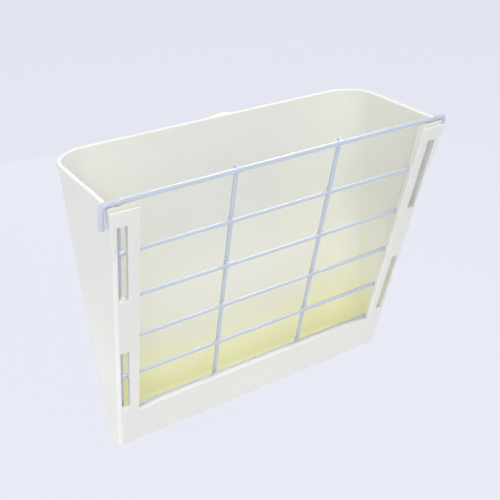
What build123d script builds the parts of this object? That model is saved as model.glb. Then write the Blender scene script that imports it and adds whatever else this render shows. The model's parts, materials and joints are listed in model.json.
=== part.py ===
from build123d import *
import math
import os

# Hay feeder that hangs on a wire pen. Millimetres, +Z up, the front faces -Y.
# The origin is on the clamp stud's axis, where the stud leaves the back wall's outer face.

# Trough body
back_width = 248.0        # across the body at the rim, along the back wall
rim_depth = 104.0         # back wall to front face, at the height of the rim
body_height = 220.4
front_slope = 15.45       # degrees that the front leans from the vertical
plan_taper = 1.97         # degrees that each side wall closes in towards the front
side_draft = 0.8          # degrees that each side wall closes in towards the floor
wall = 2.2
floor_thickness = 2.6
back_corner = 24.0        # outer radius of the two upright corners at the back
front_corner = 2.6        # outer radius of the two corners at the rails
inner_front_corner = 0.4
foot_radius = 2.4         # rounding round the underside, in foot_steps facets
foot_steps = 3

# Rim bead
bead_out = 1.0
bead_height = 3.0
rim_round = 0.9           # rounding of the rim's two top edges, in rim_steps facets
rim_steps = 3

# Rails, window and slots in the front
window_width = 207.2      # between the two rails, the same at every height
rail_thickness = 3.6
cap_drop = 2.9            # rail tops below the rim
panel_drop = 184.4        # rim to the bottom panel's edge, beside the rails
panel_rise = 2.4          # how much higher that edge stands between its two ramps
panel_ramp = 18.0
slot_share = 0.48         # slot's share of the rail between the side wall and the window
slot_length = 58.0
upper_slot_drop = 13.6    # rim to the top of the upper slot
lower_slot_drop = 118.4
cap_depth = 5.8           # rail head, front to back
cap_taper = 34.0          # height over which the head thins down to the rail
cap_flare = 1.2           # how far the head stands out past the side wall

# Welded wire grid
top_wire_diameter = 3.4
cross_wire_diameter = 2.8
upright_diameter = 3.0
cross_wire_count = 5
upright_count = 4
first_pitch = 39.7        # top wire to the first cross wire, along the slope
cross_pitch = 38.3        # from there on
top_wire_rise = 1.7       # top wire's axis above the rim
leg_length = 17.2
leg_bend = 3.6            # radius of the bend at the wire's axis
upright_nub = 2.4         # upright above the top wire's axis
upright_tail = 3.6        # upright below the last cross wire's axis
weld_sink = 0.4
wire_end_break = 0.4      # on the wire ends that show

# Clamp
stud_drop = 25.0          # rim to the stud's axis
clamp_shift = 7.0         # stud to the right of the trough's middle, seen from the front
stud_diameter = 10.0
stud_length = 31.0
stud_flange_diameter = 20.0
stud_flange_thickness = 1.2
stud_tip = 1.2
grip_gap = 3.6            # pen wire between the back wall and the disc
washer_diameter = 48.0
washer_thickness = 3.0
washer_break = 0.8
knob_diameter = 38.0
knob_height = 12.0
knob_break = 1.4
knob_dish = 3.0           # depth of the ring sunk in the knob's outer face
knob_dish_inner = 18.0
knob_dish_outer = 29.0
flute_count = 10
flute_radius = 3.6
flute_depth = 1.4

# Clearances
slot_wall_gap = 0.6       # side wall's inner face to the slot
wire_gap = 0.3            # grid wires to the rails and the rim seats
grid_side_gap = 2.4       # outer uprights to the side walls' inner faces, at the grid's foot
leg_gap = 1.3             # bent-down ends to the rim bead
thread_clearance = 0.1
washer_clearance = 0.3
face_gap = 0.2            # disc to knob

# Motion, printed for the joints' ranges
thread_pitch = 3.0
swing_spare = 2.0         # outer uprights' lower ends to the trough's round corners at full swing

# Derived places
rim_z = stud_drop
base_z = rim_z - body_height
trough_middle = -clamp_shift
slope = math.radians(front_slope)
taper = math.tan(math.radians(plan_taper))
draft = math.tan(math.radians(side_draft))
clear = 20.0              # how far a cutter reaches past what it cuts

os.makedirs("parts", exist_ok=True)


def front_y(z):
    """Outer front face at height z."""
    return -rim_depth + (rim_z - z) * math.tan(slope)


def half_width(y, z):
    """Outer side face at depth y and height z."""
    return back_width / 2 + y * taper - (rim_z - z) * draft


def behind_front(z, distance):
    """Depth, at height z, of a plane that lies a distance behind the sloping front face."""
    return front_y(z) + distance / math.cos(slope)


def section(z, side, back, front, back_radius, front_radius):
    """Plan outline at height z, drawn in from the outer faces by side, back and front."""
    y_back = -back
    y_front = behind_front(z, front)
    x_back = half_width(y_back, z) - side
    x_front = half_width(y_front, z) - side
    outline = Polyline(
        (-x_back, y_back), (x_back, y_back), (x_front, y_front), (-x_front, y_front), close=True
    )
    face = make_face(outline)
    face = fillet(face.vertices().sort_by(Axis.Y)[:2], front_radius)
    face = fillet(face.vertices().sort_by(Axis.Y)[-2:], back_radius)
    return Pos(0, 0, z) * face


def side_prism(points, x_low, x_high):
    """Solid with a side outline of (y, z) points, between two places on X."""
    outline = make_face(Polyline(*points, close=True))
    return extrude(Plane.YZ.offset(x_low) * outline, amount=x_high - x_low)


def front_prism(points, y_low, y_high):
    """Solid with a front outline of (x, z) points, between two depths."""
    outline = make_face(Polyline(*points, close=True))
    return extrude(Plane.XZ.offset(-y_high) * outline, amount=y_high - y_low)


def wire(start, end, diameter):
    """Straight wire between two points on its axis."""
    length = (Vector(*end) - Vector(*start)).length
    place = Plane(origin=start, z_dir=Vector(*end) - Vector(*start))
    return place * Cylinder(diameter / 2, length, align=(Align.CENTER, Align.CENTER, Align.MIN))


# Grid places, measured on the sloping plane: down is along the slope, behind is square to it
cross_depth = rail_thickness + wire_gap + cross_wire_diameter / 2
upright_depth = cross_depth + (cross_wire_diameter + upright_diameter) / 2 - weld_sink
top_wire_depth = upright_depth - (upright_diameter + top_wire_diameter) / 2 + weld_sink
top_wire_z = rim_z + top_wire_rise
top_wire_y = behind_front(top_wire_z, top_wire_depth)
grid_length = first_pitch + cross_pitch * (cross_wire_count - 1)
leg_offset = half_width(top_wire_y, rim_z) + bead_out + top_wire_diameter / 2 + leg_gap
foot_z = top_wire_z - (grid_length + upright_tail) * math.cos(slope)
foot_y = behind_front(foot_z, upright_depth)
outer_upright_x = half_width(foot_y, foot_z) - wall - upright_diameter / 2 - grid_side_gap
upright_pitch = 2 * outer_upright_x / (upright_count - 1)


def grid_point(x, down, depth):
    """Point on the grid: down from the top wire's axis, depth behind the front face."""
    behind = depth - top_wire_depth
    y = top_wire_y + down * math.sin(slope) + behind * math.cos(slope)
    z = top_wire_z - down * math.cos(slope) + behind * math.sin(slope)
    return (x, y, z)


def quarter_turn(radius, steps):
    """Rises and insets that step round an edge, from the wall to the level."""
    turns = [math.pi / 2 * step / steps for step in range(steps + 1)]
    return [(radius * math.sin(turn), radius * (1 - math.cos(turn))) for turn in turns]


def rim_levels():
    """Heights and insets that step round the rim's top edge, upwards."""
    return [(rim_z - rim_round + rise, inset) for rise, inset in quarter_turn(rim_round, rim_steps)]


def foot_levels():
    """Heights and insets that step round the underside's edge, upwards."""
    levels = quarter_turn(foot_radius, foot_steps)
    return [(base_z + foot_radius - fall, inset) for fall, inset in reversed(levels)]


def make_shell():
    """Drafted tub with a floor and a rim bead, before the front is opened."""
    bead_low = rim_z - bead_height
    outline = [
        section(z, inset, inset, inset, back_corner - inset, front_corner - inset)
        for z, inset in foot_levels()
    ]
    outline.append(section(bead_low - bead_out, 0, 0, 0, back_corner, front_corner))
    outline.append(section(bead_low, -bead_out, 0, 0, back_corner + bead_out, front_corner))
    for z, inset in rim_levels():
        radius = back_corner + bead_out - inset
        outline.append(section(z, inset - bead_out, inset, 0, radius, front_corner))
    outer = loft(outline, ruled=True)
    inner_radius = back_corner - wall
    inner = loft(
        [
            section(z, wall, wall, rail_thickness, inner_radius, inner_front_corner)
            for z in (base_z + floor_thickness, rim_z + clear)
        ],
        ruled=True,
    )
    mouth_levels = [(z, wall - inset) for z, inset in rim_levels()]
    mouth_levels.append((rim_z + clear, wall - rim_round))
    mouth = loft(
        [
            section(z, gap, gap, rail_thickness, back_corner - gap, inner_front_corner)
            for z, gap in mouth_levels
        ],
        ruled=True,
    )
    return outer - inner - mouth


def make_rail_head(side):
    """Wedge behind and beside the top of one rail."""
    cap_z = rim_z - cap_drop
    toe_z = cap_z - cap_taper
    heel = [
        (behind_front(cap_z, 0.1), cap_z),
        (behind_front(cap_z, cap_depth), cap_z),
        (behind_front(toe_z, rail_thickness), toe_z),
        (behind_front(toe_z, 0.1), toe_z),
    ]
    x_outer = half_width(front_y(cap_z), cap_z) + cap_flare
    x_inner = window_width / 2
    toe = half_width(front_y(toe_z), toe_z)
    head = side_prism(heel, x_inner, x_outer)
    flare_cut = front_prism(
        [(x_outer, cap_z), (x_outer + clear, cap_z), (x_outer + clear, toe_z), (toe, toe_z)],
        -rim_depth - clear,
        0,
    )
    head = head - flare_cut
    if side < 0:
        head = mirror(head, about=Plane.YZ)
    return head


def make_window_cutter():
    """Window between the rails: open at the top, with a stepped lower edge."""
    top_z = rim_z + clear
    end_z = rim_z - panel_drop
    middle_z = end_z + panel_rise
    x_side = window_width / 2
    x_step = x_side - panel_ramp
    points = [
        (-x_side, top_z),
        (-x_side, end_z),
        (-x_step, middle_z),
        (x_step, middle_z),
        (x_side, end_z),
        (x_side, top_z),
    ]
    reach = behind_front(end_z, rail_thickness) + 2 * wall
    return front_prism(points, -rim_depth - clear, reach)


def slot_edges(z):
    """Outer and inner edge of the slots at height z, from the trough's middle."""
    outer = half_width(front_y(z), z) - wall - slot_wall_gap
    inner = outer - slot_share * (outer - window_width / 2)
    return outer, inner


def make_slot_cutter(drop, side):
    """One slot through a rail, along the rail's outer edge."""
    top_z = rim_z - drop
    low_z = top_z - slot_length
    top_outer, top_inner = slot_edges(top_z)
    low_outer, low_inner = slot_edges(low_z)
    points = [
        (side * top_outer, top_z),
        (side * top_inner, top_z),
        (side * low_inner, low_z),
        (side * low_outer, low_z),
    ]
    reach = behind_front(low_z, rail_thickness) + wall
    return front_prism(points, front_y(top_z) - clear, reach)


def make_trough():
    shell = make_shell()
    for side in (-1, 1):
        shell = shell + make_rail_head(side)
    shell = shell - make_window_cutter()
    for side in (-1, 1):
        for drop in (upper_slot_drop, lower_slot_drop):
            shell = shell - make_slot_cutter(drop, side)
    # Step the side rims down: first to a seat for the top wire, then to the rail tops
    cap_z = rim_z - cap_drop
    seat_z = top_wire_z - top_wire_diameter / 2 - wire_gap
    seat_back = top_wire_y + top_wire_diameter / 2 + wire_gap
    seat_front = top_wire_y - top_wire_diameter / 2
    reach = back_width / 2 + clear
    front = -rim_depth - clear
    seat_outline = [(front, seat_z), (seat_back, seat_z), (seat_back, rim_z + clear), (front, rim_z + clear)]
    cap_outline = [(front, cap_z), (seat_front, cap_z), (seat_front, rim_z + clear), (front, rim_z + clear)]
    shell = shell - side_prism(seat_outline, -reach, reach)
    shell = shell - side_prism(cap_outline, -reach, reach)
    return shell


def make_top_wire():
    foot = leg_length
    path = FilletPolyline(
        grid_point(-leg_offset, foot, top_wire_depth),
        grid_point(-leg_offset, 0, top_wire_depth),
        grid_point(leg_offset, 0, top_wire_depth),
        grid_point(leg_offset, foot, top_wire_depth),
        radius=leg_bend,
    )
    profile = Plane(origin=path @ 0, z_dir=path % 0) * Circle(top_wire_diameter / 2)
    rod = sweep(profile, path=path)
    ends = [
        edge
        for edge in rod.edges().filter_by(GeomType.CIRCLE)
        if edge.center().Z < top_wire_z - leg_length / 2
    ]
    return chamfer(ends, wire_end_break)


def make_cross_wire(number):
    down = first_pitch + (number - 1) * cross_pitch
    start = grid_point(-outer_upright_x, down, cross_depth)
    end = grid_point(outer_upright_x, down, cross_depth)
    return wire(start, end, cross_wire_diameter)


def make_upright(number):
    x = -outer_upright_x + (number - 1) * upright_pitch
    start = grid_point(x, -upright_nub, upright_depth)
    end = grid_point(x, grid_length + upright_tail, upright_depth)
    rod = wire(start, end, upright_diameter)
    return chamfer(rod.edges().filter_by(GeomType.CIRCLE), wire_end_break)


def turned(points):
    """Solid turned about the stud's axis from an outline of (radius, depth) points."""
    outline = make_face(Polyline(*points, close=True))
    return revolve(Plane.XY * outline, Axis.Y)


def make_stud():
    radius = stud_diameter / 2
    flange = stud_flange_diameter / 2
    return turned(
        [
            (0, 0),
            (flange, 0),
            (flange, stud_flange_thickness),
            (radius, stud_flange_thickness),
            (radius, stud_length - stud_tip),
            (radius - stud_tip, stud_length),
            (0, stud_length),
        ]
    )


def make_washer():
    bore = stud_diameter / 2 + washer_clearance
    low = grip_gap
    high = grip_gap + washer_thickness
    outer = washer_diameter / 2
    return turned(
        [
            (bore, low),
            (outer - washer_break, low),
            (outer, low + washer_break),
            (outer, high - washer_break),
            (outer - washer_break, high),
            (bore, high),
        ]
    )


def make_knob():
    bore = stud_diameter / 2 + thread_clearance
    low = grip_gap + washer_thickness + face_gap
    high = low + knob_height
    outer = knob_diameter / 2
    knob = turned(
        [
            (bore, low),
            (outer - knob_break, low),
            (outer, low + knob_break),
            (outer, high - knob_break),
            (outer - knob_break, high),
            (knob_dish_outer / 2, high),
            (knob_dish_outer / 2, high - knob_dish),
            (knob_dish_inner / 2, high - knob_dish),
            (knob_dish_inner / 2, high),
            (bore, high),
        ]
    )
    flute = Cylinder(flute_radius, knob_height + clear, rotation=(90, 0, 0))
    flute_circle = outer + flute_radius - flute_depth
    for number in range(flute_count):
        angle = 2 * math.pi * number / flute_count
        place = Pos(flute_circle * math.cos(angle), low + knob_height / 2, flute_circle * math.sin(angle))
        knob = knob - place * flute
    return knob


def save(name, shape):
    export_step(shape, os.path.join("parts", name + ".step"))


# The trough and its grid are drawn about their own middle, then put beside the clamp
middle = Pos(trough_middle, 0, 0)
save("trough", middle * make_trough())
save("top_wire", middle * make_top_wire())
for number in range(1, cross_wire_count + 1):
    save(f"cross_wire_{number}", middle * make_cross_wire(number))
for number in range(1, upright_count + 1):
    save(f"upright_{number}", middle * make_upright(number))
save("clamp_stud", make_stud())
save("clamp_washer", make_washer())
save("clamp_knob", make_knob())

# Limits of the motions, for the record
tail_down = grid_length + upright_tail
tail_depth = upright_depth - top_wire_depth + upright_diameter / 2
tail_radius = math.hypot(tail_down, tail_depth)
tail_angle = math.degrees(slope + math.atan2(tail_depth, tail_down))
corner_radius = back_corner - wall
corner_x = half_width(0, foot_z) - wall - corner_radius
outer_edge = outer_upright_x + upright_diameter / 2
corner_y = -back_corner + math.sqrt(corner_radius**2 - (outer_edge - corner_x) ** 2)
reach_back = corner_y - swing_spare - top_wire_y
swing = math.degrees(math.asin(reach_back / tail_radius)) - tail_angle
print("top wire axis y, z:", round(top_wire_y, 3), round(top_wire_z, 3))
print("grid swing, degrees:", round(swing, 2))
print("slide per radian of knob, mm:", round(thread_pitch / (2 * math.pi), 6))
print("base z:", base_z)
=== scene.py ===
# %% [markdown]
# # A hanging hay feeder
#
# The real thing is an ivory trough moulded in one shot, a grid of coated wire that hangs in its open
# sloping front, and a screw clamp on its back. The measured parts come ready made in a fixed frame.
# They could be drawn again here, but then their sizes would drift, so they stay as they are.
# Blender only adds what a ruler can't hold: the plastic, the wire's coating, the beads where wires
# are welded, the clamp's thread, and the light.

# %% Load the measured parts
import json
import math

import bmesh
import bpy
from mathutils import Matrix, Vector


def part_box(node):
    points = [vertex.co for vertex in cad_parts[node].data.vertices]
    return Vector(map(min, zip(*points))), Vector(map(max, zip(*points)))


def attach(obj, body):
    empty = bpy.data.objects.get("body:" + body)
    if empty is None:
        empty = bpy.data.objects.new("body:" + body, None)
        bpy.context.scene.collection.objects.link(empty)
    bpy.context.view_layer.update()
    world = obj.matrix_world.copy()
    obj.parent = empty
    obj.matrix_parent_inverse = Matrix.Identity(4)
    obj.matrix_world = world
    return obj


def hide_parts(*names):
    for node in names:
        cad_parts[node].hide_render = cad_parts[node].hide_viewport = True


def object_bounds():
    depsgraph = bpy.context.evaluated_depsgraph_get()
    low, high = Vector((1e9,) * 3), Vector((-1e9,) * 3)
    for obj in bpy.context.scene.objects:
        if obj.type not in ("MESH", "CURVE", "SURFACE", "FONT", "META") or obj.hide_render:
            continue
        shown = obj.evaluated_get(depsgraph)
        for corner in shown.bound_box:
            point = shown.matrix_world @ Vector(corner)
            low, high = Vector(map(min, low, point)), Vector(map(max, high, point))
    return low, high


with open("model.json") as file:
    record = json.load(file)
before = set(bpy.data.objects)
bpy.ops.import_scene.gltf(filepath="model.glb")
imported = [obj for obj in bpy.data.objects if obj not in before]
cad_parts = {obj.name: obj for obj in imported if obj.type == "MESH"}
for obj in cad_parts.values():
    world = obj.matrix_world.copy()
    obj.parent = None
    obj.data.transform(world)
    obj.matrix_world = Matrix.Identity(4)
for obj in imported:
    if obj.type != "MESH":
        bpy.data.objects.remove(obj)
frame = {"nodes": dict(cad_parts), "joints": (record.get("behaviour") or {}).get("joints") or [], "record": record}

measured_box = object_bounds()

# %% [markdown]
# ## The camera's axes
#
# A camera can be dragged about until the view looks right, but then no piece lands quite on its
# place in the picture. Here it is built from what a photographer would note down: where it stood and
# how far it was turned, dipped and rolled. These numbers were fitted to long straight edges.
# Three angles become three axes with two cross products, which is easier to follow than a rotation
# matrix multiplied out by hand.


# %% Turn three angles into axes
def camera_frame(azimuth, dip, roll):
    """The camera's own axes: right, up, and out of its back."""
    ahead = Vector((math.sin(azimuth) * math.cos(dip), math.cos(azimuth) * math.cos(dip), -math.sin(dip)))
    level_right = Vector((math.cos(azimuth), -math.sin(azimuth), 0.0))
    level_up = level_right.cross(ahead)
    right = level_right * math.cos(roll) + level_up * math.sin(roll)
    up = right.cross(ahead)
    return Matrix((right, up, -ahead)).transposed()


camera_azimuth = math.radians(29.67)
camera_dip = math.radians(28.85)
camera_roll = math.radians(-2.43)
camera_axes = camera_frame(camera_azimuth, camera_dip, camera_roll)
print("camera looks along:", [round(-v, 3) for v in camera_axes.col[2]])

# %% [markdown]
# ## The camera
#
# A lens can be given as a field of view or as millimetres. The fit gives it in pixels, and one
# division by the picture's width turns that into millimetres on a sensor. The picture is square, so
# width and height need the same lens. The near clip is 1 cm, because the feeder is only half a
# metre away. Colours are shown as they are, without a film curve.

# %% Place the camera
picture_width = 500.0             # pixels
focal_pixels = 749.9
sensor_width = 36.0               # millimetres
camera_place = Vector((-0.24455, -0.4587, 0.19872))

camera_data = bpy.data.cameras.new("camera")
camera_data.sensor_width = sensor_width
camera_data.lens = focal_pixels / picture_width * sensor_width
camera_data.clip_start = 0.01
camera = bpy.data.objects.new("camera", camera_data)
bpy.context.collection.objects.link(camera)
camera.matrix_world = Matrix.Translation(camera_place) @ camera_axes.to_4x4()
bpy.context.scene.camera = camera
bpy.context.scene.view_settings.view_transform = "Standard"
print("lens, mm:", round(camera_data.lens, 2))

# %% [markdown]
# ## Colours
#
# A colour read from a screen is stored with a curve on it, and a shader wants it without that curve.
# Blender's colour picker does this silently, but a script has to do it itself. One small function
# takes the curve off, so every finish below can be written as a designer would, from 0 to 255.

# %% Read colours as a designer writes them
curve_foot = 0.04045              # up to here the curve is a straight line
foot_slope = 12.92
curve_shift = 0.055
curve_power = 2.4


def colour(red, green, blue):
    """Screen colour from 0 to 255, without its curve."""
    values = []
    for part in (red / 255, green / 255, blue / 255):
        if part <= curve_foot:
            values.append(part / foot_slope)
        else:
            values.append(((part + curve_shift) / (1 + curve_shift)) ** curve_power)
    return (*values, 1.0)


room_colour = colour(231, 234, 245)
light_colour = colour(255, 254, 251)
print("room without its curve:", [round(v, 3) for v in room_colour])

# %% [markdown]
# ## Finishes from nodes
#
# No real surface has one flat colour and one gloss. The variation comes from nodes: a noise makes a
# pattern, a map range stretches it to the values wanted, a mix lays one colour over another, and a
# bump tilts the surface a little. They could be wired by hand in each material, but a short
# function for each leaves only what is special about a finish. Every pattern is laid in the object's
# own space, so it stays on a piece that moves.

# %% Make the tools for finishes
mix_share, mix_under, mix_over = 0, 6, 7      # a mix node's sockets when it mixes colours
mix_result = 2


def new_material(name):
    """An empty material, its node tree and its one main shader."""
    material = bpy.data.materials.new(name)
    material.use_nodes = True
    return material, material.node_tree, material.node_tree.nodes["Principled BSDF"]


def grain(tree, space, scale, detail):
    """Noise from 0 to 1. A small scale is slow and broad, a large one is fine."""
    noise = tree.nodes.new("ShaderNodeTexNoise")
    noise.inputs["Scale"].default_value = scale
    noise.inputs["Detail"].default_value = detail
    tree.links.new(space, noise.inputs["Vector"])
    return noise.outputs["Fac"]


def stretch(tree, value, first, last, low=0.0, high=1.0, soft=True):
    """Run from low to high while the value runs from first to last, with soft ends or straight."""
    ramp = tree.nodes.new("ShaderNodeMapRange")
    ramp.interpolation_type = "SMOOTHSTEP" if soft else "LINEAR"
    ramp.inputs["From Min"].default_value = first
    ramp.inputs["From Max"].default_value = last
    ramp.inputs["To Min"].default_value = low
    ramp.inputs["To Max"].default_value = high
    tree.links.new(value, ramp.inputs["Value"])
    return ramp.outputs[0]


def product(tree, first, second):
    """One value times another. The second may also be a plain number."""
    times = tree.nodes.new("ShaderNodeMath")
    times.operation = "MULTIPLY"
    tree.links.new(first, times.inputs[0])
    if isinstance(second, float):
        times.inputs[1].default_value = second
    else:
        tree.links.new(second, times.inputs[1])
    return times.outputs[0]


def overlay(tree, share, under, over):
    """Lay one colour over another. Each is a colour or comes from a node."""
    mix = tree.nodes.new("ShaderNodeMix")
    mix.data_type = "RGBA"
    tree.links.new(share, mix.inputs[mix_share])
    for socket, paint in ((mix.inputs[mix_under], under), (mix.inputs[mix_over], over)):
        if isinstance(paint, tuple):
            socket.default_value = paint
        else:
            tree.links.new(paint, socket)
    return mix.outputs[mix_result]


def emboss(tree, height, strength, distance):
    """Bump node that tilts the surface by a pattern's height."""
    bump = tree.nodes.new("ShaderNodeBump")
    bump.inputs["Strength"].default_value = strength
    bump.inputs["Distance"].default_value = distance
    tree.links.new(height, bump.inputs["Height"])
    return bump


tools = (new_material, grain, stretch, product, overlay, emboss)
print("tools for finishes:", [tool.__name__ for tool in tools])

# %% [markdown]
# ## The floor
#
# A pale floor lies far below. Lit like everything else, it would come out greyer than the white
# studio it stands for. More light would cure that and bleach the feeder. So most of its colour is
# given straight to the camera as a glow, and the rest is lit, which keeps the feeder's soft shadow.
# A light path node tells the two apart: lamps and reflections still meet an ordinary matt floor.

# %% Lay the floor
floor_drop = 0.30                 # floor below the feeder's underside
floor_half = 9.0
floor_glow = 0.90                 # share of the floor's colour that needs no light
floor_roughness = 0.9
floor_shine = 0.1

floor_material, tree, shader = new_material("pale_floor")
shader.inputs["Base Color"].default_value = room_colour
shader.inputs["Roughness"].default_value = floor_roughness
shader.inputs["Specular IOR Level"].default_value = floor_shine
glow = tree.nodes.new("ShaderNodeEmission")
glow.inputs["Color"].default_value = room_colour
seen = tree.nodes.new("ShaderNodeLightPath")
blend = tree.nodes.new("ShaderNodeMixShader")
tree.links.new(product(tree, seen.outputs["Is Camera Ray"], floor_glow), blend.inputs[0])
tree.links.new(shader.outputs[0], blend.inputs[1])
tree.links.new(glow.outputs[0], blend.inputs[2])
tree.links.new(blend.outputs[0], tree.nodes["Material Output"].inputs["Surface"])

floor_z = measured_box[0][2] - floor_drop
corners = [(-1, -1), (1, -1), (1, 1), (-1, 1)]
floor_mesh = bpy.data.meshes.new("floor")
floor_mesh.from_pydata([(x * floor_half, y * floor_half, floor_z) for x, y in corners], [], [(0, 1, 2, 3)])
floor = bpy.data.objects.new("floor", floor_mesh)
floor.data.materials.append(floor_material)
bpy.context.collection.objects.link(floor)
print("floor at", round(floor_z, 3))

# %% [markdown]
# ## The white room
#
# Soft light comes from everywhere, as in a white room. A picture of a room could do it, but a plain
# world colour is enough. The same trick as on the floor splits it in two: the light that reaches the
# feeder is neutral, so that ivory stays ivory, and only the camera sees the room as pale blue.

# %% Light the room
sky_strength = 0.57

world = bpy.data.worlds.new("soft_room")
world.use_nodes = True
bpy.context.scene.world = world
sky = world.node_tree
background = sky.nodes["Background"]
background.inputs["Color"].default_value = light_colour
background.inputs["Strength"].default_value = sky_strength
seen_sky = sky.nodes.new("ShaderNodeBackground")
seen_sky.inputs["Color"].default_value = room_colour
seen_sky.inputs["Strength"].default_value = 1.0
ray = sky.nodes.new("ShaderNodeLightPath")
choose = sky.nodes.new("ShaderNodeMixShader")
sky.links.new(ray.outputs["Is Camera Ray"], choose.inputs[0])
sky.links.new(background.outputs[0], choose.inputs[1])
sky.links.new(seen_sky.outputs[0], choose.inputs[2])
sky.links.new(choose.outputs[0], sky.nodes["World Output"].inputs["Surface"])
print("room's share of the light:", sky_strength)

# %% [markdown]
# ## Four softboxes
#
# Each softbox has one job, which is why there are four and not one strong lamp.
# The overhead one is small and stands to the right: its reflection draws the white line along the
# tops of the wires. The front one hangs high, so that it reaches down into the trough more than it
# lights the leaning front. The side one lights the outer side wall on the left. The rear one is
# weak and lights the back wall's far side, because thin plastic glows only if light falls behind it.

# %% Hang the softboxes
feeder_middle = Vector((0.0, -0.05, -0.08))
softboxes = (
    # name, place, width, watts
    ("overhead_softbox", (0.5, 0.2, 1.0), 0.5, 7.0),
    ("front_softbox", (-0.35, -1.14, 0.8), 1.1, 11.6),
    ("side_softbox", (-1.5, -0.1, -0.1), 1.2, 7.0),
    ("rear_softbox", (0.4, 1.2, 0.1), 1.2, 3.5),
)


def soft_lamp(name, place, width, watts):
    """A square softbox that looks at the feeder."""
    data = bpy.data.lights.new(name, "AREA")
    data.shape = "SQUARE"
    data.size = width
    data.energy = watts
    data.color = light_colour[:3]
    lamp = bpy.data.objects.new(name, data)
    bpy.context.collection.objects.link(lamp)
    lamp.location = place
    lamp.rotation_euler = (feeder_middle - Vector(place)).to_track_quat("-Z", "Y").to_euler()


for softbox in softboxes:
    soft_lamp(*softbox)
print("softboxes:", len(softboxes))

# %% [markdown]
# ## Painted light and shade where the trough is sheltered
#
# Deep in the trough all the light has come through plastic, so the real one is yellower there.
# This light and shade is painted into the plastic's colour, not by hand but from an ambient
# occlusion node, which tells at each point how open the air is in front of it. The same number
# serves twice: a little shelter gets a painted tint for the inside, and a lot gets the painted tint of
# the deep. On the trough both are lighter than the outside and the deep one is much yellower, a painted
# glow; on the clamp they are a little darker and yellower, a painted shade. The rails' front faces have
# edges and slots that look sheltered too, though they lie in full light. They share one leaning plane,
# and how far a point lies behind a plane is a dot product, so one node leaves them out.

# %% Find the sheltered places
rail_angle = math.radians(15.45)  # lean of the trough's front
rim_z = 0.025
front_y = -0.104                  # the front face, carried up to the rim's level
front_lean = (0.0, math.cos(rail_angle), math.sin(rail_angle))
front_place = Vector((0.0, front_y, rim_z)).dot(Vector(front_lean))
behind_from, behind_full = 0.0030, 0.0060
shelter_reach = 0.16              # how far the plastic looks for other walls


def behind_front(tree, space):
    """0 near the trough's front face, 1 from 6 mm behind it."""
    facing = tree.nodes.new("ShaderNodeVectorMath")
    facing.operation = "DOT_PRODUCT"
    facing.inputs[1].default_value = front_lean
    tree.links.new(space, facing.inputs[0])
    return stretch(tree, facing.outputs["Value"], front_place + behind_from, front_place + behind_full)


def openness(tree):
    """1 in the open, 0 where walls stand all round."""
    open_air = tree.nodes.new("ShaderNodeAmbientOcclusion")
    open_air.samples = 8
    open_air.only_local = True
    open_air.inputs["Distance"].default_value = shelter_reach
    return open_air.outputs["AO"]


print("front plane from the origin, mm:", round(front_place * 1000, 1))

# %% [markdown]
# ## Ivory plastic
#
# The trough is a thin moulding: satin, ivory, and a little see-through. Glass would let the wires
# show through it, and a flat colour lets nothing through. The shader's subsurface part is the way
# between: light soaks in and comes out at the other side of a thin wall, blue less far than red and
# green, which gives some of the yellow; the rest of the yellow in the deep is the painted tint from the
# section before. How deep it soaks grows from the rim to the floor. Near the rim it stays small, or the
# clamp's disc would show as a shadow on the back wall, and lower down it is large, because light
# reaches the deep only through the walls.
# A slow noise shifts the colour as mould flow does, a faster one shifts the gloss, a very fine one
# gives the faint peel of a moulded face, and a bevel node rounds sharp edges as far as the light can
# tell.

# %% Make the ivory plastic
flow_scale = 9.0
wear_scale = 45.0
peel_scale = 700.0
painted_inside_from, painted_inside_full = 0.97, 0.75         # openness at which the painted tint of the inside sets in, and is full
painted_deep_from, painted_deep_full = 0.62, 0.12             # the same for the painted tint of the deep
painted_deep_top, painted_deep_floor = -0.06, -0.155          # heights at which the painted tint of the deep sets in, and is full
painted_deep_least = 0.05
soak_top, soak_floor = -0.03, -0.16           # heights between which the light soaks in deeper
soak_growth = 6
soak_reach = (1.0, 0.97, 0.72)                # red, green and blue
peel_strength, peel_height = 0.12, 0.0001
edge_radius = 0.0006
plastic_ior = 1.49


def paint_shelter_tints(tree, space, height, outside, painted_inside_tint, painted_deep_tint):
    """Outside colour with two painted tints for light and shade laid over it: one where the plastic is a little
    sheltered, one in the deep.
    """
    behind = behind_front(tree, space)
    open_air = openness(tree)
    painted_inside_share = product(tree, stretch(tree, open_air, painted_inside_from, painted_inside_full, soft=False), behind)
    deep = stretch(tree, open_air, painted_deep_from, painted_deep_full)
    low_down = stretch(tree, height, painted_deep_top, painted_deep_floor, low=painted_deep_least)
    painted_deep_share = product(tree, product(tree, low_down, behind), deep)
    return overlay(tree, painted_deep_share, overlay(tree, painted_inside_share, outside, painted_inside_tint), painted_deep_tint)


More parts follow.
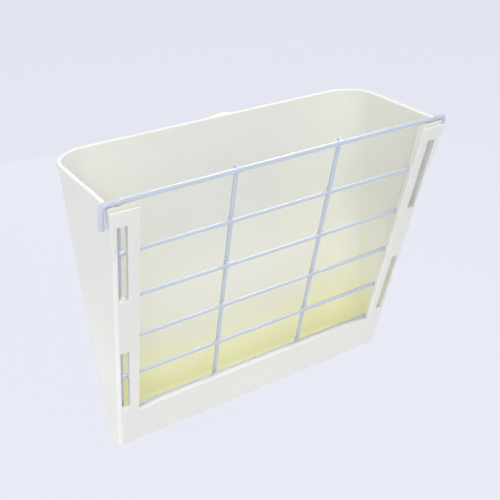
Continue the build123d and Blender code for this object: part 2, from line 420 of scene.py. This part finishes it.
def moulded_plastic(name, base, shade, painted_inside_tint, painted_deep_tint, soak_depth, gloss):
    """Satin moulded plastic with flow marks, fine peel, light that soaks through thin walls, and painted tints for
    light and shade where it is sheltered.
    """
    material, tree, shader = new_material(name)
    space = tree.nodes.new("ShaderNodeTexCoord").outputs["Object"]
    axes = tree.nodes.new("ShaderNodeSeparateXYZ")
    tree.links.new(space, axes.inputs[0])
    height = axes.outputs["Z"]

    outside = overlay(tree, grain(tree, space, flow_scale, detail=3.0), base, shade)
    # Painted light and shade: the sheltered inside and the deep get tints laid over the outside colour.
    painted = paint_shelter_tints(tree, space, height, outside, painted_inside_tint, painted_deep_tint)
    tree.links.new(painted, shader.inputs["Base Color"])

    wear = grain(tree, space, wear_scale, detail=6.0)
    satin = stretch(tree, wear, 0.3, 0.7, low=gloss - 0.05, high=gloss + 0.07, soft=False)
    tree.links.new(satin, shader.inputs["Roughness"])

    soft_edge = tree.nodes.new("ShaderNodeBevel")
    soft_edge.samples = 4
    soft_edge.inputs["Radius"].default_value = edge_radius
    peel = emboss(tree, grain(tree, space, peel_scale, detail=2.0), peel_strength, peel_height)
    tree.links.new(soft_edge.outputs[0], peel.inputs["Normal"])
    tree.links.new(peel.outputs[0], shader.inputs["Normal"])

    soak = stretch(tree, height, soak_top, soak_floor, low=soak_depth, high=soak_depth * soak_growth)
    tree.links.new(soak, shader.inputs["Subsurface Scale"])
    shader.inputs["Subsurface Weight"].default_value = 1.0
    shader.inputs["Subsurface Radius"].default_value = soak_reach
    shader.inputs["IOR"].default_value = plastic_ior
    return material


# The tints for the inside and the deep are painted light: on the trough lighter, and yellow in the deep, a painted
# glow; on the clamp a little darker and yellower, a painted shade.
ivory = moulded_plastic(
    "ivory_plastic", base=colour(225, 225, 223), shade=colour(221, 221, 217), painted_inside_tint=colour(231, 232, 226),
    painted_deep_tint=colour(255, 252, 206), soak_depth=0.0012, gloss=0.34,
)
clamp_ivory = moulded_plastic(
    "clamp_plastic", base=colour(243, 240, 216), shade=colour(239, 234, 206), painted_inside_tint=colour(241, 236, 200),
    painted_deep_tint=colour(238, 230, 180), soak_depth=0.002, gloss=0.38,
)
print("nodes in one plastic:", len(ivory.node_tree.nodes))

# %% [markdown]
# ## Dressing the plastic pieces
#
# The trough is one material and the clamp another, a shade yellower, as parts from two moulds often
# are. A measured part keeps its shape and only gets a finish in its material slot.


# %% Dress the plastic pieces
def dress(node, material):
    """Give a measured part its finish."""
    piece = frame["nodes"][node]
    piece.data.materials.clear()
    piece.data.materials.append(material)


plastic_pieces = {"trough": ivory, "clamp_washer": clamp_ivory, "clamp_knob": clamp_ivory}
for node, plastic in plastic_pieces.items():
    dress(node, plastic)
print("plastic parts dressed:", len(plastic_pieces))

# %% [markdown]
# ## Coated wire
#
# The grid's wires are steel under a pale blue-white plastic skin. Steel never shows, so this is a
# plastic and not a metal. The skin is smooth and a little uneven where it ran as it cured: a noise
# in the roughness and a faint bump make its highlight waver. A clear coat on top gives the sharp
# white line along each wire, and a touch of sheen lifts the edges, where a milky skin is seen at a
# slant and looks lighter.

# %% Make the wire's coating
cloud_scale = 60.0
run_scale = 260.0
run_strength, run_height = 0.25, 0.0002
skin_gloss = (0.16, 0.30)         # roughness where the skin is smoothest and where it is cloudiest
skin_values = {
    "IOR": 1.52,
    "Coat Weight": 0.7,
    "Coat Roughness": 0.08,
    "Sheen Weight": 0.45,
    "Sheen Roughness": 0.25,
}


def wire_coating(name, base, shade):
    """Glossy plastic skin on steel wire, a little cloudy and a little uneven."""
    material, tree, shader = new_material(name)
    space = tree.nodes.new("ShaderNodeTexCoord").outputs["Object"]
    cloud = grain(tree, space, cloud_scale, detail=4.0)
    tree.links.new(overlay(tree, cloud, base, shade), shader.inputs["Base Color"])
    satin = stretch(tree, cloud, 0.0, 1.0, *skin_gloss, soft=False)
    tree.links.new(satin, shader.inputs["Roughness"])
    run = emboss(tree, grain(tree, space, run_scale, detail=2.0), run_strength, run_height)
    tree.links.new(run.outputs[0], shader.inputs["Normal"])
    for socket, value in skin_values.items():
        shader.inputs[socket].default_value = value
    return material


coating = wire_coating("coated_wire", colour(191, 199, 214), colour(180, 189, 206))
grid_nodes = frame["record"]["behaviour"]["bodies"]["grid"]
for node in grid_nodes:
    dress(node, coating)
print("wires dressed:", len(grid_nodes))

# %% [markdown]
# ## Where the wires lie
#
# Beads and drops have to sit exactly on the wires, at rest and when the grid swings. Their places
# could be typed in, but then they would come loose as soon as a size changed. So each wire's axis is
# the middle of its measured box, the slope is the line from the first cross wire to the last, and
# the top wire's axis is the hinge's own.

# %% Read the wires' axes
cross_names = sorted(n for n in grid_nodes if n.startswith("cross_wire"))
upright_names = sorted(n for n in grid_nodes if n.startswith("upright"))


def middle(node):
    """Middle of a measured part's box."""
    low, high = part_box(node)
    return (low + high) / 2


def thickness(node, axis):
    """A measured part's size along one axis."""
    low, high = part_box(node)
    return high[axis] - low[axis]


lean = middle(cross_names[-1]) - middle(cross_names[0])
slope_angle = math.atan2(lean.y, -lean.z)
across = Vector((1.0, 0.0, 0.0))
down_slope = Vector((0.0, math.sin(slope_angle), -math.cos(slope_angle)))
behind_slope = Vector((0.0, math.cos(slope_angle), math.sin(slope_angle)))
cross_radius = thickness(cross_names[0], 2) / 2
upright_radius = thickness(upright_names[0], 0) / 2
hinge = next(j for j in frame["joints"] if j["child"] == "grid")
top_axis = Vector((0.0, hinge["pos_m"][1], hinge["pos_m"][2]))
top_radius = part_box("top_wire")[1].z - top_axis.z
print("slope, degrees:", round(math.degrees(slope_angle), 2))
print("wire radii, mm:", [round(r * 1000, 2) for r in (top_radius, cross_radius, upright_radius)])

# %% [markdown]
# ## A lathe
#
# Beads, wires and drops are all round about an axis. A stretched sphere or cylinder would be quicker,
# but its outline can't be chosen. A lathe can have any: it takes a profile, as pairs of a distance
# along the axis and a radius, sets a ring of points for each pair, and joins ring to ring with
# faces. Both ends are closed, so every piece is a solid skin without holes.


# %% Build the lathe
def skin_rings(shape, rings):
    """Join rings of points to each other, and close the first and the last."""
    sides = len(rings[0])
    for lower, upper in zip(rings, rings[1:]):
        for step in range(sides):
            after = (step + 1) % sides
            shape.faces.new((lower[step], lower[after], upper[after], upper[step]))
    shape.faces.new(list(reversed(rings[0])))
    shape.faces.new(rings[-1])


def lathe(profile, along, round_one, round_two, centre, sides):
    """Turn a profile of (distance along, radius) pairs round an axis."""
    shape = bmesh.new()
    rings = []
    for distance, radius in profile:
        ring = []
        for step in range(sides):
            turn = 2 * math.pi * step / sides
            spoke = round_one * math.cos(turn) + round_two * math.sin(turn)
            ring.append(shape.verts.new(centre + along * distance + spoke * radius))
        rings.append(ring)
    skin_rings(shape, rings)
    return shape


def mesh_object(name, shape, material):
    """Turn a bmesh into an object with one finish and smooth shading."""
    bmesh.ops.recalc_face_normals(shape, faces=shape.faces)
    for face in shape.faces:
        face.smooth = True
    data = bpy.data.meshes.new(name)
    shape.to_mesh(data)
    shape.free()
    data.materials.append(material)
    made = bpy.data.objects.new(name, data)
    bpy.context.collection.objects.link(made)
    return made


print("lathe ready, axis of the top wire at:", [round(v, 4) for v in top_axis])

# %% [markdown]
# ## One weld bead
#
# Where two wires cross they are pressed together red hot, and the coating then pools in the corner.
# The bead could be painted as bump, but it shows in outline against the inside of the trough, so it
# is real mesh. Each wire gets a short spindle, fatter than the wire in the middle and thinner than it
# at the ends, so that it melts into the wire. A voxel remesh fuses the two spindles, and a smooth
# fills the corner. Where a wire ends at the weld, its spindle stops there too, with a rounded end.

# %% Shape a weld bead
bead_sides = 20
bead_swell = 0.0003               # how far a bead stands proud of its wire
bead_reach = 0.0034               # half of a bead's length
bead_steps = 14
bead_sink = 0.00012               # how far its ends lie inside the wire
rounded_end = ((0.35, 0.85), (0.55, 0.5))     # past the stop, and the radius left, in shares of the radius
bead_voxel = 0.00026
fill_factor = 0.6
fill_rounds = 8


def spindle(radius, swell, stop):
    """Profile that stands proud of a wire in the middle and sinks into it at the ends."""
    points = []
    for step in range(bead_steps + 1):
        distance = -bead_reach + 2 * bead_reach * step / bead_steps
        if stop is not None and distance > stop:
            break
        share = (distance / bead_reach) ** 2
        points.append((distance, radius + swell * (1 - share) ** 2 - bead_sink * share))
    if stop is not None:
        last = points[-1][1]
        points += [(stop + last * past, last * left) for past, left in rounded_end]
    return points


def fuse(bead):
    """Melt a bead's two spindles into one skin, and smooth the corner between them."""
    melt = bead.modifiers.new("melt", "REMESH")
    melt.mode = "VOXEL"
    melt.voxel_size = bead_voxel
    melt.use_smooth_shade = True
    fill = bead.modifiers.new("fill", "SMOOTH")
    fill.factor = fill_factor
    fill.iterations = fill_rounds
    bpy.context.view_layer.update()
    fused = bpy.data.meshes.new_from_object(bead.evaluated_get(bpy.context.evaluated_depsgraph_get()))
    bead.modifiers.clear()
    bead.data = fused


def make_bead(name, front_radius, behind, stop=None, side=1, top=None, swell=bead_swell):
    """Bead for a wire along X and an upright behind it, drawn about the front wire's axis.

    stop ends the front wire's spindle on one side, top ends the upright's spindle upwards.
    """
    front_profile = spindle(front_radius, swell, stop)
    front = lathe(front_profile, across * side, down_slope, behind_slope, Vector(), bead_sides)
    back_profile = spindle(upright_radius, bead_swell, top)
    back = lathe(back_profile, -down_slope, across, behind_slope, behind, bead_sides)
    spare = bpy.data.meshes.new("spare")
    back.to_mesh(spare)
    front.from_mesh(spare)
    back.free()
    bpy.data.meshes.remove(spare)
    bead = mesh_object(name, front, coating)
    fuse(bead)
    return bead


cross_depth = behind_slope * (middle(upright_names[0]) - middle(cross_names[0])).dot(behind_slope)
through_bead = make_bead("weld_bead_through", cross_radius, cross_depth)
print("faces in a bead:", len(through_bead.data.polygons))

# %% [markdown]
# ## The other kinds of bead
#
# There are only five kinds of crossing, so five beads are made and then copied. The inner crossings
# run straight through. At the outer ones the cross wire ends, to the left or to the right. On the top
# wire the two inner uprights stand a little over it, and the two outer ones stop below its top, in a
# fatter drop of coating.

# %% Make the other beads
wire_end = 0.0006                 # how far a cross wire runs on past its last upright
inner_top = 0.0007                # where the uprights' spindles end, above the top wire's axis
outer_top = -0.0011
outer_swell = 0.0005

top_depth = behind_slope * (middle(upright_names[0]) - top_axis).dot(behind_slope)
left_bead = make_bead("weld_bead_left", cross_radius, cross_depth, stop=wire_end, side=-1)
right_bead = make_bead("weld_bead_right", cross_radius, cross_depth, stop=wire_end)
top_bead = make_bead("weld_bead_top", top_radius, top_depth, top=inner_top)
tip_bead = make_bead("weld_bead_tip", top_radius, top_depth, top=outer_top, swell=outer_swell)
print("top wire's uprights lie behind it by, mm:", round(top_depth.length * 1000, 2))

# %% [markdown]
# ## Beads along the grid
#
# A copy of an object can share its mesh, so 24 beads weigh no more than five. Each sits where its
# upright passes behind its cross wire. The whole row rides on the grid and swings with it.

# %% Set the beads
bead_rows = [(top_axis, (tip_bead, top_bead, top_bead, tip_bead))]
for wire in cross_names:
    bead_rows.append((middle(wire), (left_bead, through_bead, through_bead, right_bead)))

bead_count = 0
for row, (wire_middle, models) in enumerate(bead_rows):
    for column, (upright, model) in enumerate(zip(upright_names, models), 1):
        bead = bpy.data.objects.new(f"weld_{row}_{column}", model.data)
        bpy.context.collection.objects.link(bead)
        bead.location = (middle(upright).x, wire_middle.y, wire_middle.z)
        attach(bead, "grid")
        bead_count += 1
for model in (through_bead, left_bead, right_bead, top_bead, tip_bead):
    bpy.data.objects.remove(model)
print("weld beads:", bead_count)

# %% [markdown]
# ## Soft ends
#
# A cut wire that is dipped in hot plastic doesn't come out square: the coating pulls itself into a
# small dome at each end, a little fatter than the wire. A bevel modifier would round the edge but
# not swell it, so the end is a profile for the lathe. It swells over the last three millimetres and
# closes in a quarter of an ellipse.

# %% Draw a soft end
drop_reach = 0.0030               # length of the swollen part
drop_swell = 0.00008
dome_steps = 6
dome_tip = 0.00008                # radius of the last ring
turned_sides = 24


def dome(radius, round_share):
    """Soft end from the plain wire to the tip, as (distance before the tip, radius) pairs."""
    fat = radius + drop_swell
    cap = radius * round_share
    points = [
        (drop_reach, radius),
        (drop_reach * 0.7, radius + drop_swell * 0.5),
        (max(drop_reach * 0.4, cap), fat),
    ]
    for step in range(1, dome_steps + 1):
        turn = math.pi / 2 * step / dome_steps
        points.append((cap - cap * math.sin(turn), max(fat * math.cos(turn), dome_tip)))
    return points


def turn_wire(name, profile, along, start):
    """Turn a profile on the lathe and hang it in the grid."""
    side = along.orthogonal().normalized()
    piece = mesh_object(name, lathe(profile, along, side, along.cross(side), start, turned_sides), coating)
    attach(piece, "grid")
    return piece


print("points in a soft end:", len(dome(upright_radius, 1.0)))

# %% [markdown]
# ## The uprights
#
# The four uprights stand behind the cross wires and stop near the top wire. Each is turned like a
# table leg: one profile from end to end, with a soft end at both. It takes the measured upright's
# place. The inner two end just over the top wire, the outer two just under its middle.

# %% Turn the uprights
upright_dome = 0.75               # a dome's height as a share of the wire's radius
plain_shares = (0.2, 0.4, 0.6, 0.8)
top_stops = (-0.0002, 0.0019, 0.0019, -0.0002)    # the uprights' tips above the top wire's axis


def soft_wire(name, radius, first, last):
    """Straight wire from one point to another, with a soft end at both."""
    length = (last - first).length
    ends = dome(radius, upright_dome)
    profile = list(reversed(ends))
    profile += [(length * share, radius) for share in plain_shares]
    profile += [(length - distance, size) for distance, size in ends]
    return turn_wire(name, profile, (last - first).normalized(), first)


for number, (upright, top_stop) in enumerate(zip(upright_names, top_stops), 1):
    half = (thickness(upright, 2) / 2 - upright_radius * math.sin(slope_angle)) / math.cos(slope_angle)
    centre = middle(upright)
    rise = (top_axis - centre).dot(-down_slope) + top_stop
    tip, foot = centre - down_slope * rise, centre + down_slope * half
    wire = soft_wire(f"upright_wire_{number}", upright_radius, tip, foot)
    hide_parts(upright)
    print("upright", number, "length, mm:", round((foot - tip).length * 1000, 1))

# %% [markdown]
# ## Drops on the top wire's ends
#
# The top wire is bent down at both ends, and its measured shape is right as it is. Its two cut ends
# only need their drop of coating. Making the whole bent wire again would be much work for two small
# domes, so a soft end is laid over each, and starts just inside the wire's skin so that no step shows.

# %% Make the end drops
leg_dome = 0.2                    # these ends are flatter than the uprights'
leg_lift = 0.1                    # how far the drop hangs past the cut end, as a share of the radius


def end_drop(name, radius, tip, outward):
    """Soft end over a wire's cut end. tip is the cut's middle, outward points away from the wire."""
    profile = [(radius * leg_lift - distance, size) for distance, size in dome(radius, leg_dome)]
    profile[0] = (profile[0][0], radius - drop_swell)
    return turn_wire(name, profile, outward, tip)


top_low, top_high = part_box("top_wire")
leg_end_z = top_low.z + top_radius * math.sin(slope_angle)
leg_length = (top_axis.z - leg_end_z) / math.cos(slope_angle)
for word, x in (("left", top_low.x + top_radius), ("right", top_high.x - top_radius)):
    tip = Vector((x, top_axis.y, top_axis.z)) + down_slope * leg_length
    end_drop(f"drop_leg_{word}", top_radius, tip, down_slope)
print("the bent ends hang down, mm:", round(leg_length * 1000, 1))

# %% [markdown]
# ## The thread's shape
#
# The stud that stands out of the back wall is a coarse plastic screw. A thread can be faked with a
# spiral of bump, but its outline shows beside the knob, so it is cut in the mesh. Seen from the
# side, one turn of thread is a wave: a flat crest, a soft flank down and a soft flank up. One short
# function holds that wave for a phase from 0 to 1.

# %% Draw the thread
thread_pitch = 0.003
thread_depth = 0.0011
stud_radius = 0.005               # at the thread's crest
crest_share = 0.3                 # share of the pitch that is crest
flank_share = 0.4                 # share of the pitch that is both flanks


def thread_height(phase):
    """0 at the root and 1 at the crest of the thread, for a phase from 0 to 1."""
    away = abs(phase - 0.5) * 2
    fall = min(1.0, max(0.0, (away - crest_share) / flank_share))
    return 1 - fall * fall * (3 - 2 * fall)


print("thread over one pitch:", [round(thread_height(step / 8), 2) for step in range(8)])

# %% [markdown]
# ## The clamp's stud
#
# The stud is one tube of rings whose radius follows the thread, one pitch per turn. The thread
# fades out at the tip, as a moulded lead-in does, and starts low at the wall. A thin round flange
# with a rounded edge joins the stud to the wall. A screw modifier could wind the thread too, but it
# leaves open ends and no taper, so the rings are set point by point.

# %% Cut the thread
stud_low, stud_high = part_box("clamp_stud")
stud_sides = 72
ring_rise = 0.00025
lead_in = 0.0022                  # length of the taper at either end
lead_taper = 0.0006               # how much thinner the tip is
start_height = 0.35               # the thread's height at the wall, as a share
flange_radius = (stud_high.x - stud_low.x) / 2
flange_top = 0.0012
flange_edge = 0.0004
edge_steps = 4
foot_fillet = ((0.0, 0.0006), (0.0002, 0.0001))   # above the flange, and wider than the stud
thread_start = flange_top + 0.0004


def flange_rings():
    """Flange with a rounded edge and a small fillet up to the stud, as (depth, radius) pairs."""
    rings = [(0.0, flange_radius)]
    for step in range(edge_steps + 1):
        turn = math.pi / 2 * step / edge_steps
        depth = flange_top - flange_edge * (1 - math.sin(turn))
        rings.append((depth, flange_radius - flange_edge * (1 - math.cos(turn))))
    rings += [(flange_top + above, stud_radius + wider) for above, wider in foot_fillet]
    return rings


def thread_ring(depth):
    """Radii round the stud at one depth."""
    left = min(1.0, (stud_high.y - depth) / lead_in)
    run_in = min(1.0, (depth - thread_start) / lead_in)
    fade = left * (start_height + (1 - start_height) * run_in)
    root = stud_radius - thread_depth - lead_taper * (1 - left)
    radii = []
    for side in range(stud_sides):
        phase = (depth / thread_pitch + side / stud_sides) % 1.0
        radii.append(root + thread_depth * thread_height(phase) * fade)
    return radii


def threaded_stud():
    """Flange, then a tube whose radius follows the thread."""
    outline = [(depth, [radius] * stud_sides) for depth, radius in flange_rings()]
    count = int((stud_high.y - thread_start) / ring_rise)
    for step in range(count + 1):
        depth = thread_start + (stud_high.y - thread_start) * step / count
        outline.append((depth, thread_ring(depth)))
    shape = bmesh.new()
    rings = []
    for depth, radii in outline:
        ring = []
        for side, radius in enumerate(radii):
            turn = 2 * math.pi * side / stud_sides
            ring.append(shape.verts.new((radius * math.cos(turn), depth, radius * math.sin(turn))))
        rings.append(ring)
    skin_rings(shape, rings)
    return shape


stud = mesh_object("threaded_stud", threaded_stud(), clamp_ivory)
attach(stud, "feeder")
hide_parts("clamp_stud")
print("stud faces:", len(stud.data.polygons))
